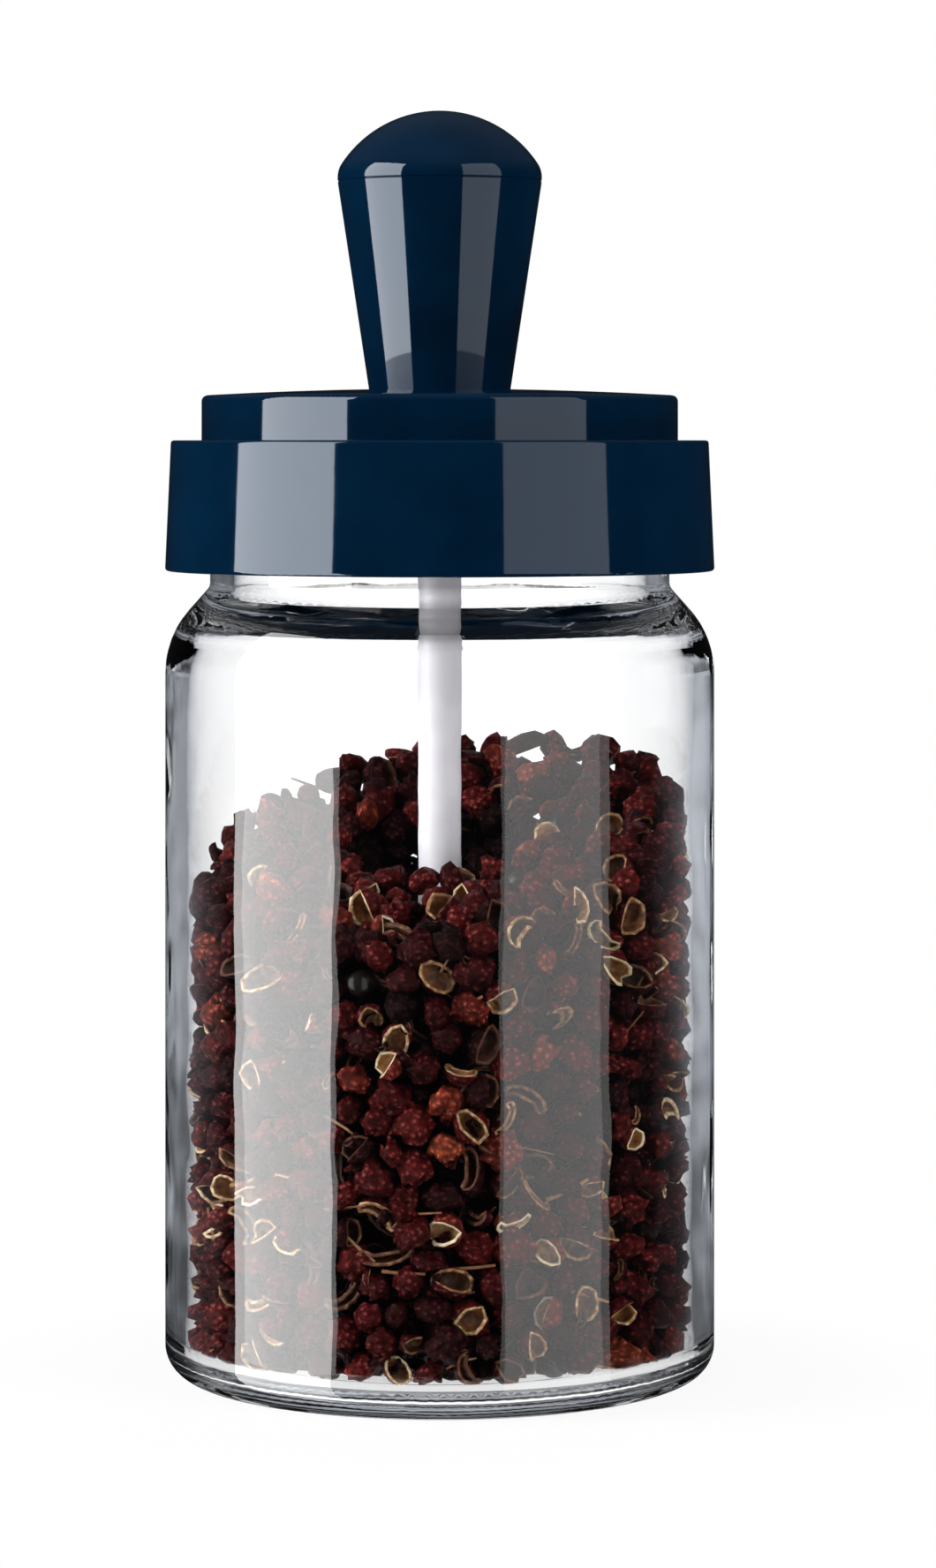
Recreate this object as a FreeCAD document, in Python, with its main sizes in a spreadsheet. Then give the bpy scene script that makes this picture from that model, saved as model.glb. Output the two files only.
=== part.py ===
"""Glass spice jar with a screw collar, a pull-out knob lid with its own spoon, and a fill of peppercorns.

The jar stands on the XY plane with its axis on Z. Lengths are in millimetres and angles in degrees.
"""

import FreeCAD
import Part
import math
import os
import re

import Sketcher

OUT_FOLDER = "parts"
CLOSE = 1e-4
LEAST_CHANGE = 0.3
SEAL_LIPS = 3
LUMPS_ROUND = 16
LUMP_ROWS = 7
TOP_LUMPS = 13
HALF_TURN = 180

# Driving sizes. Each name is an alias in the sheet "dims".
DIMS = {
    # glass jar
    "body_dia": 70.0,
    "body_wall": 2.8,
    "jar_height": 116.4,
    "base_thick": 4.0,
    "heel_round": 4.0,
    "heel_lift": 1.2,
    "heel_run": 4.5,
    "floor_round": 2.2,
    "foot_width": 3.0,
    "kick_depth": 1.6,
    "kick_run": 2.5,
    "shoulder_step": 5.7,
    "shoulder_rise": 6.4,
    "shoulder_round": 12.0,
    "hollow_round": 3.0,
    "neck_show": 2.0,
    "neck_wall": 3.0,
    "neck_root_round": 1.2,
    "throat_drop": 1.8,
    "throat_round": 3.4,
    "rim_round": 1.0,
    # screw thread between neck and collar
    "thread_pitch": 4.0,
    "thread_turns": 1.25,
    "thread_depth": 1.1,
    "thread_base": 2.4,
    "thread_crest": 1.1,
    "thread_lead": 0.5,
    "thread_gap": 0.35,
    "nut_depth": 1.0,
    "nut_base": 2.2,
    "nut_crest": 1.0,
    "thread_bite": 0.4,
    # screw collar and its gasket
    "collar_height": 16.6,
    "collar_wall": 3.55,
    "collar_flare": 0.75,
    "collar_edge": 0.4,
    "flange_thick": 2.0,
    "sleeve_gap": 0.7,
    "sleeve_wall": 1.6,
    "sleeve_reach": 1.5,
    "mouth_lead": 0.6,
    "gasket_thick": 1.2,
    "gasket_gap": 0.3,
    # lid cap with its plug and seal
    "tier_step": 3.9,
    "tier_height": 5.7,
    "tier_wall": 2.0,
    "tier_edge": 0.8,
    "crown_rise": 0.8,
    "cap_thick": 2.0,
    "seat_margin": 0.3,
    "plug_gap": 1.4,
    "plug_wall": 2.6,
    "plug_lip": 1.4,
    "groove_depth": 1.0,
    "groove_height": 5.0,
    "groove_drop": 2.6,
    "lip_height": 1.1,
    "slip_gap": 0.05,
    "boss_wall": 2.2,
    "boss_length": 6.5,
    # knob
    "knob_base_dia": 18.1,
    "knob_seam_dia": 26.1,
    "knob_height": 35.6,
    "dome_rise": 9.0,
    "knob_wall": 2.0,
    "knob_floor": 2.4,
    "dome_lip": 1.4,
    "dome_round": 3.2,
    "seam_bevel": 0.15,
    "spigot_length": 3.0,
    "spigot_wall": 1.5,
    "rebate_width": 0.5,
    # screw and washer inside the knob
    "screw_dia": 3.0,
    "screw_length": 15.0,
    "screw_point": 2.0,
    "head_dia": 5.6,
    "head_height": 2.1,
    "head_round": 0.9,
    "recess_span": 3.2,
    "recess_width": 0.8,
    "recess_depth": 1.2,
    "washer_dia": 7.4,
    "washer_thick": 0.7,
    "hole_gap": 0.2,
    # spoon
    "stem_dia": 5.6,
    "stem_head_dia": 8.4,
    "stem_taper": 9.0,
    "stem_tip_dia": 4.4,
    "stem_sink": 3.0,
    "pilot_gap": 2.9,
    "key_depth": 0.8,
    "key_width": 1.8,
    "bowl_length": 27.0,
    "bowl_width": 18.0,
    "bowl_depth": 8.0,
    "bowl_wall": 1.2,
    "bowl_shift": 0.3,
    "tip_gap": 8.0,
    # peppercorn fill
    "headspace": 31.0,
    "fill_slope": 21.0,
    "fill_turn": 64.0,
    "fill_gap": 0.3,
    "well_gap": 0.6,
    "funnel_depth": 6.0,
    "funnel_angle": 30.0,
    "lump_dia": 8.6,
    "lump_height": 2.0,
    "top_ring": 22.4,
}

# Radii and heights that follow from the driving sizes. Each name is an alias in the sheet "levels".
LEVELS = {
    # glass jar
    "body_rad": "body_dia / 2",
    "bore_rad": "body_rad - body_wall",
    "neck_rad": "body_rad - shoulder_step",
    "neck_bore": "neck_rad - neck_wall",
    "foot_out": "body_rad - heel_round - heel_run",
    "foot_rad": "foot_out - foot_width",
    # screw collar
    "nut_rad": "neck_rad + thread_depth + thread_gap",
    "collar_rad": "nut_rad + collar_wall",
    "flange_under": "jar_height + gasket_thick",
    "collar_top": "flange_under + flange_thick",
    "collar_bottom": "collar_top - collar_height",
    "neck_root": "collar_bottom - neck_show",
    "shoulder": "neck_root - shoulder_rise",
    "sleeve_rad": "neck_bore - sleeve_gap",
    "mouth_rad": "sleeve_rad - sleeve_wall",
    "nut_thread_start": "collar_bottom + thread_lead + nut_base / 2",
    "neck_thread_start": "nut_thread_start + thread_pitch / 2",
    # lid cap
    "tier_rad": "collar_rad - tier_step",
    "tier_top": "collar_top + tier_height",
    "crown_top": "tier_top + crown_rise",
    "cap_under": "tier_top - cap_thick",
    "plug_rad": "mouth_rad - plug_gap",
    "plug_bore": "plug_rad - plug_wall",
    "groove_rad": "plug_rad - groove_depth",
    "groove_top": "collar_top - groove_drop",
    "groove_end": "groove_top - groove_height",
    "plug_end": "groove_end - plug_lip",
    "sleeve_end": "plug_end - sleeve_reach",
    "screw_hole": "screw_dia / 2 + hole_gap",
    "socket_rad": "stem_head_dia / 2 + slip_gap",
    "boss_rad": "socket_rad + boss_wall",
    "boss_end": "cap_under - boss_length",
    # knob
    "knob_base": "knob_base_dia / 2",
    "seam_rad": "knob_seam_dia / 2",
    "knob_top": "crown_top + knob_height",
    "knob_seam": "knob_top - dome_rise",
    "knob_floor_top": "crown_top + knob_floor",
    "dome_edge": "knob_seam + dome_lip",
    "spigot_seat": "seam_rad - knob_wall",
    "spigot_rad": "spigot_seat - slip_gap",
    "spigot_bore": "spigot_rad - spigot_wall",
    "spigot_end": "knob_seam - spigot_length",
    # screw
    "screw_seat": "knob_floor_top + washer_thick",
    "screw_tip": "screw_seat - screw_length",
    "head_top": "screw_seat + head_height",
    # spoon
    "stem_rad": "stem_dia / 2",
    "bowl_tip": "base_thick + tip_gap",
    "bowl_top": "bowl_tip + bowl_length",
    "pilot_rad": "screw_dia / 2 + slip_gap",
    # peppercorn fill
    "fill_rad": "bore_rad - fill_gap",
    "fill_floor": "base_thick + fill_gap",
    "fill_level": "neck_root - headspace",
    "fill_peak": "fill_level + fill_rad * tan(fill_slope * 1 deg)",
    "fill_crest": "fill_level + 2 * fill_rad * tan(fill_slope * 1 deg)",
    "core_rad": "fill_rad - lump_height",
    "core_level": "fill_level - lump_height",
    "lump_rad": "lump_dia / 2",
    "first_row": "fill_floor + lump_rad + lump_height / 2",
    "row_rise": f"(fill_peak - lump_rad - first_row) / {LUMP_ROWS - 1}",
    "lump_sink": "lump_rad - lump_height",
    "well_rad": "max(bowl_width / 2; bowl_depth) + well_gap",
    "funnel_start": "fill_level - funnel_depth",
}

NAME = re.compile(r"[a-z_]+")


def bound(text):
    """The formula with the sheet's name in front of each alias."""

    def with_sheet(match):
        word = match.group()
        if word in DIMS:
            return "dims." + word
        if word in LEVELS:
            return "levels." + word
        return word

    return NAME.sub(with_sheet, text)


def make_sheets():
    """The sheet of driving sizes, and the sheet of what follows from them."""
    dims = doc.addObject("Spreadsheet::Sheet", "dims")
    for row, (name, size) in enumerate(DIMS.items(), start=1):
        dims.set(f"A{row}", name)
        dims.set(f"B{row}", str(size))
        dims.setAlias(f"B{row}", name)
    levels = doc.addObject("Spreadsheet::Sheet", "levels")
    for row, (name, formula) in enumerate(LEVELS.items(), start=1):
        levels.set(f"A{row}", name)
        levels.setAlias(f"B{row}", name)
    for row, formula in enumerate(LEVELS.values(), start=1):
        levels.set(f"B{row}", "=" + bound(formula))
    doc.recompute()
    return levels


def size_of(text):
    """The formula's value now."""
    return float(levels.evalExpression(bound(text)))


def new_body(label):
    body = doc.addObject("PartDesign::Body", label)
    body.Label = label
    return body


def add_feature(body, kind, name, **formulas):
    """A feature of the body, which becomes its tip, with its sizes bound to the sheets."""
    feature = body.newObject("PartDesign::" + kind, name)
    for setting, text in formulas.items():
        feature.setExpression(setting, bound(text))
    return feature


def settle(body, feature):
    """Makes the feature the body's tip, and stops if it neither adds nor cuts anything."""
    body.Tip = feature
    doc.recompute()
    base = feature.BaseFeature
    before = base.Shape.Volume if base else 0
    if abs(feature.Shape.Volume - before) < LEAST_CHANGE:
        raise RuntimeError(f"{body.Label}: {feature.Name} changes nothing")
    return feature


def new_sketch(body, name, role):
    """An empty sketch on one of the body's own origin planes."""
    sketch = body.newObject("Sketcher::SketchObject", name)
    plane = next(f for f in body.Origin.OriginFeatures if f.Role == role)
    sketch.AttachmentSupport = [(plane, "")]
    sketch.MapMode = "FlatFace"
    return sketch


def pin(sketch, edge, end, corner):
    """Holds one end of an edge at a corner given by two formulas."""
    for kind, axis, text in (("DistanceX", -2, corner[0]), ("DistanceY", -1, corner[1])):
        if text == "0":
            sketch.addConstraint(Sketcher.Constraint("PointOnObject", edge, end, axis))
            continue
        place = Sketcher.Constraint(kind, -1, 1, edge, end, size_of(text))
        index = sketch.addConstraint(place)
        sketch.setExpression(f"Constraints[{index}]", bound(text))


def dome_arc(here, there):
    """The shorter arc between two points, centred on the Z axis."""
    rise = there.y - here.y
    height = (there.x**2 + there.y**2 - here.x**2 - here.y**2) / (2 * rise)
    centre = FreeCAD.Vector(0, height, 0)
    circle = Part.Circle(centre, FreeCAD.Vector(0, 0, 1), (here - centre).Length)
    first, last = circle.parameter(here), circle.parameter(there)
    if (last - first) % math.tau > math.pi:
        first, last = last, first
    return Part.ArcOfCircle(circle, first, last)


def draw_outline(sketch, corners):
    """A closed outline through the corners. A third entry "dome" arches the edge that starts there."""
    points = [FreeCAD.Vector(size_of(c[0]), size_of(c[1]), 0) for c in corners]
    ends = []
    for i, corner in enumerate(corners):
        here, there = points[i], points[(i + 1) % len(points)]
        if "dome" in corner:
            arc = dome_arc(here, there)
            edge = sketch.addGeometry(arc)
            sketch.addConstraint(Sketcher.Constraint("PointOnObject", edge, 3, -2))
            forward = arc.StartPoint.isEqual(here, CLOSE)
            ends.append((edge, 1, 2) if forward else (edge, 2, 1))
        else:
            edge = sketch.addGeometry(Part.LineSegment(here, there))
            ends.append((edge, 1, 2))
    for i, (edge, start, end) in enumerate(ends):
        following = ends[(i + 1) % len(ends)]
        joined = Sketcher.Constraint("Coincident", edge, end, following[0], following[1])
        sketch.addConstraint(joined)
        pin(sketch, edge, start, corners[i])


def revolve(body, name, corners, kind="Revolution"):
    """A solid of revolution about Z, or with kind "Groove" a cut of that shape."""
    sketch = new_sketch(body, name + "_outline", "XZ_Plane")
    draw_outline(sketch, corners)
    feature = add_feature(body, kind, name)
    feature.Profile = sketch
    feature.ReferenceAxis = (sketch, ["V_Axis"])
    return settle(body, feature)


def rims_at(shape, places):
    """Names of the round edges about Z at the given (radius, height) formulas."""
    wanted = [(size_of(r), size_of(z)) for r, z in places]
    found = []
    for number, edge in enumerate(shape.Edges, start=1):
        if edge.Degenerated or not isinstance(edge.Curve, Part.Circle):
            continue
        radius, height = edge.Curve.Radius, edge.Curve.Center.z
        if any(abs(radius - r) < CLOSE and abs(height - z) < CLOSE for r, z in wanted):
            found.append(f"Edge{number}")
    return found


def dress_rims(body, name, amount, *places, kind="Fillet"):
    """Rounds the round edges at the given (radius, height) formulas, or chamfers them."""
    base = body.Tip
    setting = "Radius" if kind == "Fillet" else "Size"
    feature = add_feature(body, kind, name, **{setting: amount})
    feature.Base = (base, rims_at(base.Shape, places))
    return settle(body, feature)


def wind_thread(body, name, corners):
    """A thread ridge of the given section, wound right-handed up the Z axis."""
    sketch = new_sketch(body, name + "_section", "XZ_Plane")
    draw_outline(sketch, corners)
    ridge = add_feature(body, "AdditiveHelix", name, Pitch="thread_pitch", Turns="thread_turns")
    ridge.Profile = sketch
    ridge.ReferenceAxis = (sketch, ["V_Axis"])
    ridge.Mode = "pitch-turns-angle"
    ridge.setExpression("Pitch", bound("thread_pitch"))
    ridge.setExpression("Turns", bound("thread_turns"))
    return settle(body, ridge)


def add_block(body, kind, name, corner, length, width, height):
    """A box at the formulas for its lowest corner, added to the body or taken from it."""
    block = add_feature(body, kind, name, Length=length, Width=width, Height=height)
    for axis, text in zip("xyz", corner):
        block.setExpression(f"Placement.Base.{axis}", bound(text))
    return settle(body, block)


def glass_jar():
    """The bottle: kicked base on a standing ring, straight wall, thick round shoulder, threaded neck."""
    body = new_body("glass_jar")
    throat = "neck_root - throat_drop"
    revolve(body, "bottle", [
        ("0", "kick_depth"),
        ("foot_rad - kick_run", "kick_depth"),
        ("foot_rad", "0"),
        ("foot_out", "0"),
        ("body_rad", "heel_lift"),
        ("body_rad", "shoulder"),
        ("neck_rad", "neck_root"),
        ("neck_rad", "jar_height"),
        ("neck_bore", "jar_height"),
        ("neck_bore", throat),
        ("bore_rad", "shoulder"),
        ("bore_rad", "base_thick"),
        ("0", "base_thick"),
    ])
    dress_rims(body, "heel", "heel_round", ("body_rad", "heel_lift"))
    dress_rims(body, "floor_corner", "floor_round", ("bore_rad", "base_thick"))
    dress_rims(body, "shoulder_curve", "shoulder_round", ("body_rad", "shoulder"))
    dress_rims(body, "shoulder_hollow", "hollow_round", ("bore_rad", "shoulder"))
    dress_rims(body, "neck_root_fillet", "neck_root_round", ("neck_rad", "neck_root"))
    dress_rims(body, "throat", "throat_round", ("neck_bore", throat))
    dress_rims(body, "rim", "rim_round", ("neck_rad", "jar_height"), ("neck_bore", "jar_height"))
    wind_thread(body, "neck_thread", [
        ("neck_rad - thread_bite", "neck_thread_start - thread_base / 2"),
        ("neck_rad + thread_depth", "neck_thread_start - thread_crest / 2"),
        ("neck_rad + thread_depth", "neck_thread_start + thread_crest / 2"),
        ("neck_rad - thread_bite", "neck_thread_start + thread_base / 2"),
    ])
    return body


def screw_collar():
    """The wide flared ring: it screws on the neck, and its sleeve is the seat of the lid's plug."""
    body = new_body("screw_collar")
    revolve(body, "ring", [
        ("mouth_rad", "collar_top"),
        ("collar_rad", "collar_top"),
        ("collar_rad + collar_flare", "collar_bottom"),
        ("nut_rad", "collar_bottom"),
        ("nut_rad", "flange_under"),
        ("sleeve_rad", "flange_under"),
        ("sleeve_rad", "sleeve_end"),
        ("mouth_rad", "sleeve_end"),
    ])
    dress_rims(
        body, "outer_edges", "collar_edge",
        ("collar_rad", "collar_top"), ("collar_rad + collar_flare", "collar_bottom"),
    )
    dress_rims(body, "mouth_chamfer", "mouth_lead", ("mouth_rad", "collar_top"), kind="Chamfer")
    wind_thread(body, "nut_thread", [
        ("nut_rad + thread_bite", "nut_thread_start - nut_base / 2"),
        ("nut_rad - nut_depth", "nut_thread_start - nut_crest / 2"),
        ("nut_rad - nut_depth", "nut_thread_start + nut_crest / 2"),
        ("nut_rad + thread_bite", "nut_thread_start + nut_base / 2"),
    ])
    return body


def neck_gasket():
    """The flat silicone ring that the collar presses on the jar's rim."""
    body = new_body("neck_gasket")
    inner, outer = "neck_bore + gasket_gap", "nut_rad - gasket_gap"
    revolve(body, "flat_ring", [
        (inner, "jar_height"),
        (outer, "jar_height"),
        (outer, "flange_under"),
        (inner, "flange_under"),
    ])
    return body


def lid_cap():
    """The upper tier: a hollow disc with a grooved plug skirt and the socket for the spoon."""
    body = new_body("lid_cap")
    tier_bore = "tier_rad - tier_wall"
    revolve(body, "cap", [
        ("screw_hole", "crown_top"),
        ("knob_base + seat_margin", "crown_top", "dome"),
        ("tier_rad", "tier_top"),
        ("tier_rad", "collar_top"),
        (tier_bore, "collar_top"),
        (tier_bore, "cap_under"),
        ("plug_rad", "cap_under"),
        ("plug_rad", "groove_top"),
        ("groove_rad", "groove_top"),
        ("groove_rad", "groove_end"),
        ("plug_rad", "groove_end"),
        ("plug_rad", "plug_end"),
        ("plug_bore", "plug_end"),
        ("plug_bore", "cap_under"),
        ("boss_rad", "cap_under"),
        ("boss_rad", "boss_end"),
        ("socket_rad", "boss_end"),
        ("socket_rad", "cap_under"),
        ("screw_hole", "cap_under"),
    ])
    dress_rims(body, "tier_round", "tier_edge", ("tier_rad", "tier_top"))
    add_block(
        body, "AdditiveBox", "socket_key",
        ("socket_rad - key_depth", "-key_width / 2", "boss_end"),
        "key_depth + boss_wall / 2", "key_width", "boss_length + cap_thick / 2",
    )
    return body


def lid_seal():
    """The silicone sleeve in the plug's groove, with lips that wipe the collar's mouth."""
    body = new_body("lid_seal")
    inner = "groove_rad + slip_gap"
    bottom, top = "groove_end + slip_gap", "groove_top - slip_gap"
    lips = []
    for lip in range(SEAL_LIPS):
        middle = f"groove_end + groove_height * {2 * lip + 1} / {2 * SEAL_LIPS}"
        lips += [
            ("plug_rad", f"{middle} - lip_height / 2"),
            ("mouth_rad - slip_gap", middle),
            ("plug_rad", f"{middle} + lip_height / 2"),
        ]
    revolve(body, "lipped_sleeve", [
        (inner, bottom),
        ("plug_rad", bottom),
        *lips,
        ("plug_rad", top),
        (inner, top),
    ])
    return body


def knob_body():
    """The tapered hollow knob, open at its widest ring, with a floor that the screw clamps."""
    body = new_body("knob_body")
    rebate = "spigot_end - rebate_width"
    revolve(body, "cup", [
        ("screw_hole", "crown_top"),
        ("knob_base", "crown_top"),
        ("seam_rad", "knob_seam"),
        ("spigot_seat", "knob_seam"),
        ("spigot_seat", rebate),
        ("spigot_seat - rebate_width", rebate),
        ("knob_base - knob_wall", "knob_floor_top"),
        ("screw_hole", "knob_floor_top"),
    ])
    dress_rims(body, "seam_bevel", "seam_bevel", ("seam_rad", "knob_seam"), kind="Chamfer")
    return body


def knob_dome():
    """The domed top of the knob, with a spigot that fits the knob body's mouth."""
    body = new_body("knob_dome")
    revolve(body, "dome", [
        ("seam_rad", "knob_seam"),
        ("seam_rad", "dome_edge", "dome"),
        ("0", "knob_top"),
        ("0", "knob_top - knob_wall", "dome"),
        ("spigot_bore", "dome_edge"),
        ("spigot_bore", "spigot_end"),
        ("spigot_rad", "spigot_end"),
        ("spigot_rad", "knob_seam"),
    ])
    dress_rims(body, "shoulder_round", "dome_round", ("seam_rad", "dome_edge"))
    dress_rims(body, "seam_bevel", "seam_bevel", ("seam_rad", "knob_seam"), kind="Chamfer")
    return body


def knob_screw():
    """The pan-head screw that clamps knob, lid cap and spoon together."""
    body = new_body("knob_screw")
    revolve(body, "screw", [
        ("0", "screw_tip"),
        ("screw_dia / 2", "screw_tip + screw_point"),
        ("screw_dia / 2", "screw_seat"),
        ("head_dia / 2", "screw_seat"),
        ("head_dia / 2", "head_top"),
        ("0", "head_top"),
    ])
    dress_rims(body, "pan_head", "head_round", ("head_dia / 2", "head_top"))
    slot_floor = "head_top - recess_depth"
    for name, length, width in (
        ("recess_across", "recess_span", "recess_width"),
        ("recess_along", "recess_width", "recess_span"),
    ):
        add_block(
            body, "SubtractiveBox", name,
            (f"-{length} / 2", f"-{width} / 2", slot_floor), length, width, "head_height",
        )
    return body


def screw_washer():
    """The plain washer under the screw's head."""
    body = new_body("screw_washer")
    revolve(body, "washer", [
        ("screw_hole", "knob_floor_top"),
        ("washer_dia / 2", "knob_floor_top"),
        ("washer_dia / 2", "screw_seat"),
        ("screw_hole", "screw_seat"),
    ])
    return body


def spoon():
    """The spoon: a keyed head in the lid's socket, a round stem and an oval bowl that opens to -Y."""
    body = new_body("spoon")
    bowl = add_feature(
        body, "AdditiveEllipsoid", "bowl",
        Radius1="bowl_length / 2", Radius2="bowl_width / 2", Radius3="bowl_depth",
    )
    bowl.Angle3 = HALF_TURN
    hollow = add_feature(
        body, "SubtractiveEllipsoid", "bowl_hollow",
        Radius1="bowl_length / 2 - bowl_wall",
        Radius2="bowl_depth + bowl_shift - bowl_wall",
        Radius3="bowl_width / 2 - bowl_wall",
    )
    hollow.Placement.Rotation = FreeCAD.Rotation(FreeCAD.Vector(0, 0, 1), -HALF_TURN / 2)
    hollow.setExpression("Placement.Base.y", bound("-bowl_shift"))
    for oval in (bowl, hollow):
        oval.setExpression("Placement.Base.z", bound("bowl_tip + bowl_length / 2"))
        settle(body, oval)
    pilot_end = "screw_tip - pilot_gap"
    stem_end = "bowl_top - stem_sink"
    revolve(body, "stem", [
        ("pilot_rad", "cap_under"),
        ("stem_head_dia / 2", "cap_under"),
        ("stem_head_dia / 2", "boss_end"),
        ("stem_rad", "boss_end"),
        ("stem_rad", "bowl_top + stem_taper"),
        ("stem_tip_dia / 2", "bowl_top", "dome"),
        ("0", stem_end),
        ("0", pilot_end),
        ("pilot_rad", pilot_end),
    ])
    key_slot = "stem_head_dia / 2 - key_depth"
    add_block(
        body, "SubtractiveBox", "key_slot",
        (key_slot, "-key_width / 2 - slip_gap", "boss_end - slip_gap"),
        "stem_head_dia", "key_width + 2 * slip_gap", "boss_length + cap_thick",
    )
    return body


def add_lump(body, name, place):
    """A ball of the heap's relief, centred at the three formulas."""
    lump = add_feature(body, "AdditiveSphere", name, Radius="lump_rad")
    for axis, text in zip("xyz", place):
        lump.setExpression(f"Placement.Base.{axis}", bound(text))
    return settle(body, lump)


def turn_round(body, name, axis, count):
    """A pattern of even turns about the axis."""
    ring = add_feature(body, "PolarPattern", name)
    ring.Axis = axis
    ring.Angle = 2 * HALF_TURN
    ring.Occurrences = count
    return ring


def add_wall_lumps(body, name, first, rows, turn):
    """Rings of lumps on the heap's wall: every other row from the first one up, turned by the angle."""
    upright = next(f for f in body.Origin.OriginFeatures if f.Role == "Z_Axis")
    lump = add_lump(body, name, (
        f"(fill_rad - lump_rad) * cos({turn} * 1 deg)",
        f"(fill_rad - lump_rad) * sin({turn} * 1 deg)",
        f"first_row + {first} * row_rise",
    ))
    spread = add_feature(body, "MultiTransform", name + "_spread")
    spread.Originals = [lump]
    climb = add_feature(body, "LinearPattern", name + "_rows", Length=f"2 * row_rise * {rows - 1}")
    climb.Direction = (upright, [""])
    climb.Occurrences = rows
    ring = turn_round(body, name + "_ring", (upright, [""]), LUMPS_ROUND)
    spread.Transformations = [climb, ring]
    settle(body, spread)


def add_top_lumps(body):
    """A ring of lumps on the heap's slope, about an axis that stands square on it."""
    axis = new_sketch(body, "slope_axis", "XZ_Plane")
    foot = ("0", "core_level")
    tip = ("-lump_dia * sin(fill_slope * 1 deg)", "core_level + lump_dia * cos(fill_slope * 1 deg)")
    ends = [FreeCAD.Vector(size_of(x), size_of(z), 0) for x, z in (foot, tip)]
    edge = axis.addGeometry(Part.LineSegment(*ends), True)
    pin(axis, edge, 1, foot)
    pin(axis, edge, 2, tip)
    lump = add_lump(body, "top_lump", (
        "top_ring * cos(fill_slope * 1 deg) + lump_sink * sin(fill_slope * 1 deg)",
        "0",
        "core_level + top_ring * sin(fill_slope * 1 deg) - lump_sink * cos(fill_slope * 1 deg)",
    ))
    ring = turn_round(body, "top_lump_ring", (axis, ["Axis0"]), TOP_LUMPS)
    ring.Originals = [lump]
    settle(body, ring)


def peppercorn_fill():
    """The heap of peppercorns as one lumpy bed: it slopes, and leaves a well and a funnel for the spoon."""
    body = new_body("peppercorn_fill")
    bed = add_feature(body, "AdditivePrism", "bed", Circumradius="core_rad", Height="fill_crest - fill_floor")
    bed.Polygon = LUMPS_ROUND
    half_step = HALF_TURN / LUMPS_ROUND
    bed.Placement.Rotation = FreeCAD.Rotation(FreeCAD.Vector(0, 0, 1), half_step)
    bed.setExpression("Placement.Base.z", bound("fill_floor"))
    settle(body, bed)
    add_wall_lumps(body, "even_lump", 0, (LUMP_ROWS + 1) // 2, 0)
    add_wall_lumps(body, "odd_lump", 1, LUMP_ROWS // 2, half_step)
    slope = new_sketch(body, "slope_outline", "XZ_Plane")
    reach = "body_dia"
    rise = "body_dia * tan(fill_slope * 1 deg)"
    draw_outline(slope, [
        (f"-{reach}", f"core_level - {rise}"),
        (reach, f"core_level + {rise}"),
        (reach, f"fill_crest + {rise}"),
        (f"-{reach}", f"fill_crest + {rise}"),
    ])
    cut = add_feature(body, "Pocket", "slope")
    cut.Profile = slope
    cut.Type = "ThroughAll"
    cut.SideType = "Symmetric"
    settle(body, cut)
    add_top_lumps(body)
    revolve(body, "well", [
        ("0", "fill_floor"),
        ("well_rad", "fill_floor"),
        ("well_rad", "funnel_start"),
        ("well_rad + (fill_crest - funnel_start) * tan(funnel_angle * 1 deg)", "fill_crest"),
        ("0", "fill_crest"),
    ], kind="Groove")
    body.setExpression("Placement.Rotation.Angle", bound("fill_turn"))
    doc.recompute()
    return body


def check(pieces):
    """Stops before anything is written if an object failed or a piece is not one sound solid."""
    for thing in doc.Objects:
        if any(word in thing.State for word in ("Invalid", "Error")):
            raise RuntimeError(f"{thing.Name} failed: {thing.State}")
    for piece in pieces:
        shape = piece.Shape
        if shape.isNull() or not shape.isValid() or len(shape.Solids) != 1:
            raise RuntimeError(f"{piece.Label} is not one sound solid")


doc = FreeCAD.newDocument("spice_jar")
levels = make_sheets()
pieces = [
    glass_jar(), screw_collar(), neck_gasket(), lid_cap(), lid_seal(), knob_body(), knob_dome(),
    knob_screw(), screw_washer(), spoon(), peppercorn_fill(),
]
doc.recompute()
check(pieces)
os.makedirs(OUT_FOLDER, exist_ok=True)
for piece in pieces:
    piece.Shape.exportStep(os.path.join(OUT_FOLDER, piece.Label + ".step"))
    box = piece.Shape.BoundBox
    print(f"{piece.Label}: {piece.Shape.Volume:.0f} mm3, z {box.ZMin:.2f} to {box.ZMax:.2f}")
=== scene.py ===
"""Looks of a clear glass spice jar: navy two-tier lid with a knob, white spoon, red peppercorn husks."""
import math

import bpy
import numpy as np
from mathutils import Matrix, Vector


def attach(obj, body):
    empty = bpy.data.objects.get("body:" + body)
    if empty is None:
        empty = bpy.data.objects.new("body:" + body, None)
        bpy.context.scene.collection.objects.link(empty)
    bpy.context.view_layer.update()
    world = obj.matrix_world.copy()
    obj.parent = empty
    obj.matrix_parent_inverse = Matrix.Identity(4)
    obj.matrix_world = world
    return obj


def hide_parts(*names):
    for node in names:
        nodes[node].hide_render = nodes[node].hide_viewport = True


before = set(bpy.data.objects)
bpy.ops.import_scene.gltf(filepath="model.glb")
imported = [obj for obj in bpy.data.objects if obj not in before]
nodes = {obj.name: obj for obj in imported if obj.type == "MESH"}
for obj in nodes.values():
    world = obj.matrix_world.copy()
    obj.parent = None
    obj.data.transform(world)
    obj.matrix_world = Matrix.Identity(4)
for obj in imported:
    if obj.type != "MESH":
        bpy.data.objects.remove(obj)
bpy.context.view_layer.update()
scene = bpy.context.scene

MM = 0.001


# Small helpers

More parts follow.
